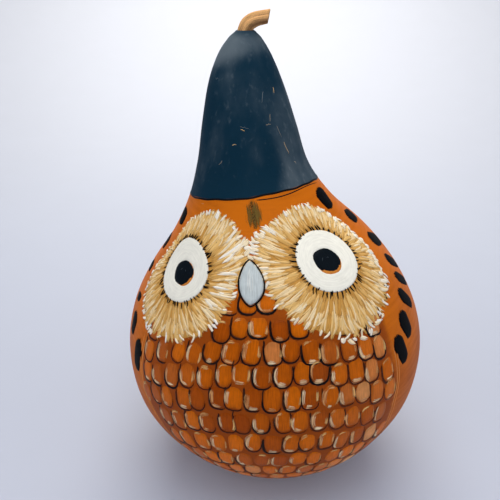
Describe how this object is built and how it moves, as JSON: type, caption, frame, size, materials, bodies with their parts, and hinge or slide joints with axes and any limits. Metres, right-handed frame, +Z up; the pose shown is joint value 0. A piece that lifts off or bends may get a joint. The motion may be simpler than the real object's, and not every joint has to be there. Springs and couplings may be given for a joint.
{
  "type": "painted gourd",
  "caption": "Dried bottle gourd painted as an owl: a round feathered body, a leaning dark neck and a short ridged stem, standing on its own base as an ornament.",
  "frame": {"origin": "middle of the flat spot that the gourd stands on", "axes": "+Z up the gourd, the painted face looks along -Y, and +X is on the right of someone who looks at the face"},
  "size_m": [0.1702, 0.1498, 0.2578],
  "materials": {
    "painted_shell": "ochre paint under a satin varnish, with a dark neck",
    "dry_stem": "dry fibrous stalk, matt",
    "face_paint": "thick brushed paint in cream, tan and white",
    "line_paint": "thin brushed black paint"
  },
  "bodies": {
    "root": {"gourd": "painted_shell", "stem": "dry_stem"}
  },
  "joints": []
}
